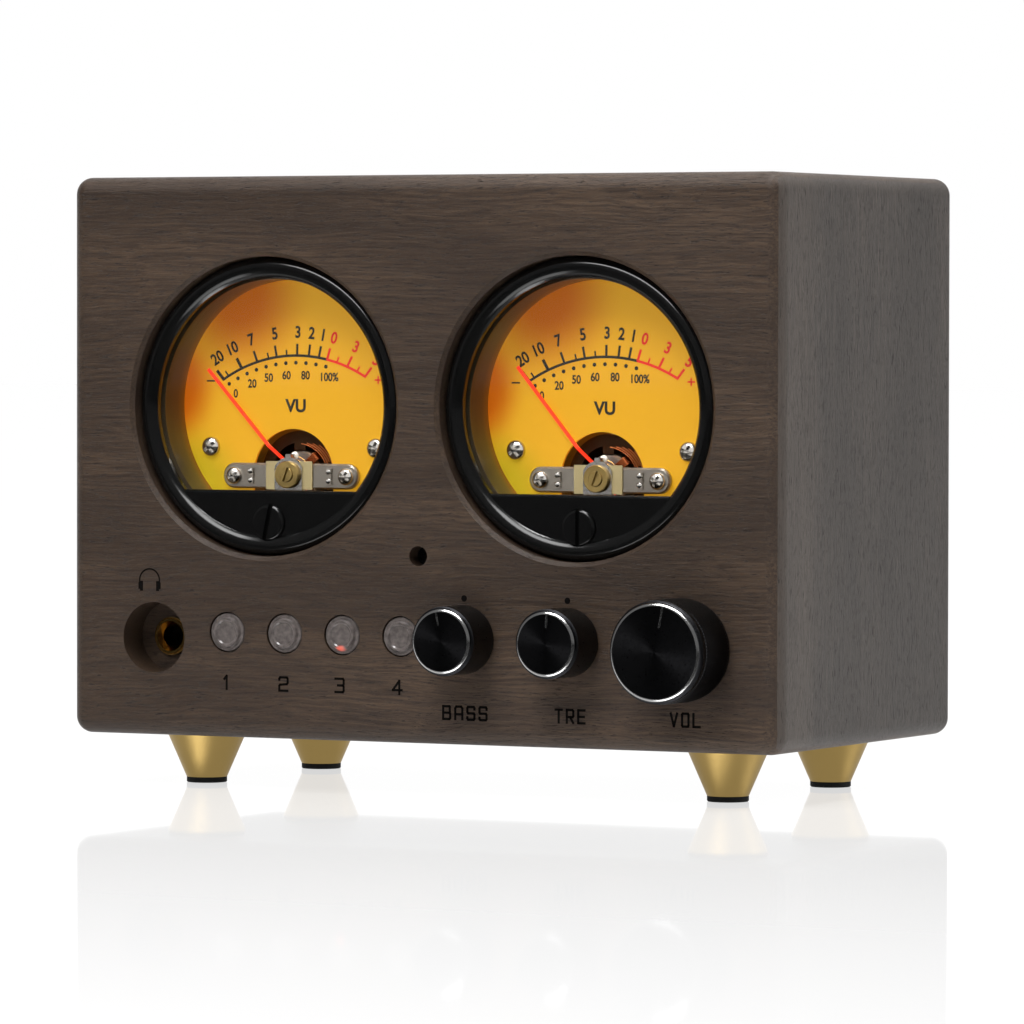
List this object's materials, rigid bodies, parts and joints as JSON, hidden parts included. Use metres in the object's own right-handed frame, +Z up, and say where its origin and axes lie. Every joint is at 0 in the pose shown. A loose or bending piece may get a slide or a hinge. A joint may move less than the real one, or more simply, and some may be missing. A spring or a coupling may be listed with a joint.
{
  "type": "analog vu meter",
  "caption": "Desk-top wooden audio selector with two round backlit VU meters, headphone jack, source buttons and tone and volume knobs, on turned brass feet.",
  "frame": {"origin": "on the table under the middle of the bounding box", "axes": "+X to the right seen from the front, +Y into the depth (front face looks to -Y), +Z up"},
  "size_m": [0.127, 0.0842, 0.0984],
  "materials": {
    "dark_walnut": "satin, dark stained walnut",
    "black_anodised_panel": "black anodised sheet",
    "black_screws": "blackened steel",
    "nickel_sockets": "nickel plated",
    "black_moulding": "fine matt moulding",
    "circuit_board": "solder mask",
    "satin_brass": "turned satin brass",
    "black_rubber": "matt rubber",
    "steel_screws": "plain steel",
    "gloss_black_moulding": "gloss black moulding",
    "clear_window": "clear polystyrene",
    "meter_housing": "dark moulding that picks up the amber light",
    "amber_dial": "translucent amber print on plastic",
    "nickel_plate": "nickel plated",
    "red_needle": "red paint",
    "copper_winding": "enamelled copper",
    "bronze_spring": "phosphor bronze",
    "phenolic_board": "tan laminate",
    "bright_brass": "turned brass",
    "nickel_screws": "nickel plated",
    "soft_iron": "plated soft iron",
    "gold_plate": "gold plated",
    "clear_button": "frosted clear plastic",
    "black_anodised_knob": "black anodised, turned"
  },
  "bodies": {
    "case": {"front_board": "dark_walnut", "top_board": "dark_walnut", "bottom_board": "dark_walnut", "left_board": "dark_walnut", "right_board": "dark_walnut", "rear_panel": "black_anodised_panel", "rear_panel_screws": "black_screws", "phono_sockets": "nickel_sockets", "power_inlet": "black_moulding", "main_board": "circuit_board", "foot_front_left": "satin_brass", "foot_front_right": "satin_brass", "foot_rear_left": "satin_brass", "foot_rear_right": "satin_brass", "foot_pads": "black_rubber", "foot_screws": "steel_screws", "meter_bezel_left": "gloss_black_moulding", "meter_lens_left": "clear_window", "meter_housing_left": "meter_housing", "meter_dial_left": "amber_dial", "meter_bridge_left": "nickel_plate", "meter_bezel_right": "gloss_black_moulding", "meter_lens_right": "clear_window", "meter_housing_right": "meter_housing", "meter_dial_right": "amber_dial", "meter_bridge_right": "nickel_plate", "bridge_insulators": "phenolic_board", "jewel_nuts": "bright_brass", "jewel_screws": "bright_brass", "bridge_screws": "nickel_screws", "dial_screws": "nickel_screws", "meter_yokes": "soft_iron", "core_magnets": "nickel_plate", "meter_lamps": "circuit_board", "jack_barrel": "gold_plate", "jack_body": "black_moulding", "button_switches": "black_moulding", "potentiometers": "nickel_plate", "infrared_receiver": "black_moulding", "control_board": "circuit_board"},
    "needle_left": {"meter_needle_left": "red_needle", "meter_coil_left": "copper_winding"},
    "zero_screw_left": {"meter_zero_screw_left": "gloss_black_moulding"},
    "zero_lever_left": {"meter_zero_lever_left": "nickel_plate", "meter_hairspring_left": "bronze_spring"},
    "needle_right": {"meter_needle_right": "red_needle", "meter_coil_right": "copper_winding"},
    "zero_screw_right": {"meter_zero_screw_right": "gloss_black_moulding"},
    "zero_lever_right": {"meter_zero_lever_right": "nickel_plate", "meter_hairspring_right": "bronze_spring"},
    "button_1": {"source_button_1": "clear_button"},
    "button_2": {"source_button_2": "clear_button"},
    "button_3": {"source_button_3": "clear_button"},
    "button_4": {"source_button_4": "clear_button"},
    "bass_control": {"bass_knob": "black_anodised_knob", "bass_shaft": "steel_screws"},
    "treble_control": {"treble_knob": "black_anodised_knob", "treble_shaft": "steel_screws"},
    "volume_control": {"volume_knob": "black_anodised_knob", "volume_shaft": "steel_screws"}
  },
  "joints": [
    {"name": "needle_left_swing", "type": "hinge", "parent": "case", "child": "needle_left", "pos_m": [-0.02782, -0.0205, 0.05053], "axis": [0, 1, 0], "range_deg": [-1.5, 84], "stiffness_Nm_per_rad": 0.0004},
    {"name": "zero_screw_left_turn", "type": "hinge", "parent": "case", "child": "zero_screw_left", "pos_m": [-0.02782, -0.0285, 0.04298], "axis": [0, 1, 0], "range_deg": [-30, 30]},
    {"name": "zero_lever_left_swing", "type": "hinge", "parent": "case", "child": "zero_lever_left", "pos_m": [-0.02782, -0.0227, 0.05053], "axis": [0, 1, 0], "range_deg": [-4.1, 4.1]},
    {"name": "needle_right_swing", "type": "hinge", "parent": "case", "child": "needle_right", "pos_m": [0.02782, -0.0205, 0.05053], "axis": [0, 1, 0], "range_deg": [-4, 81.5], "stiffness_Nm_per_rad": 0.0004},
    {"name": "zero_screw_right_turn", "type": "hinge", "parent": "case", "child": "zero_screw_right", "pos_m": [0.02782, -0.0285, 0.04298], "axis": [0, 1, 0], "range_deg": [-30, 30]},
    {"name": "zero_lever_right_swing", "type": "hinge", "parent": "case", "child": "zero_lever_right", "pos_m": [0.02782, -0.0227, 0.05053], "axis": [0, 1, 0], "range_deg": [-4.1, 4.1]},
    {"name": "button_1_press", "type": "slide", "parent": "case", "child": "button_1", "axis": [0, 1, 0], "range_m": [0, 0.0005], "stiffness_N_per_m": 600, "springref_m": -0.0002},
    {"name": "button_2_press", "type": "slide", "parent": "case", "child": "button_2", "axis": [0, 1, 0], "range_m": [0, 0.0005], "stiffness_N_per_m": 600, "springref_m": -0.0002},
    {"name": "button_3_press", "type": "slide", "parent": "case", "child": "button_3", "axis": [0, 1, 0], "range_m": [0, 0.0005], "stiffness_N_per_m": 600, "springref_m": -0.0002},
    {"name": "button_4_press", "type": "slide", "parent": "case", "child": "button_4", "axis": [0, 1, 0], "range_m": [0, 0.0005], "stiffness_N_per_m": 600, "springref_m": -0.0002},
    {"name": "bass_turn", "type": "hinge", "parent": "case", "child": "bass_control", "pos_m": [0.0087, -0.0345, 0.02516], "axis": [0, 1, 0], "range_deg": [-139.5, 160.5]},
    {"name": "treble_turn", "type": "hinge", "parent": "case", "child": "treble_control", "pos_m": [0.02705, -0.0345, 0.02516], "axis": [0, 1, 0], "range_deg": [-153.5, 146.5]},
    {"name": "volume_turn", "type": "hinge", "parent": "case", "child": "volume_control", "pos_m": [0.0472, -0.0345, 0.02446], "axis": [0, 1, 0], "range_deg": [-161, 139]}
  ],
  "couplings": [
    {"joint": "zero_lever_left_swing", "follows": "zero_screw_left_turn", "ratio": -0.1353},
    {"joint": "zero_lever_right_swing", "follows": "zero_screw_right_turn", "ratio": -0.1353}
  ]
}
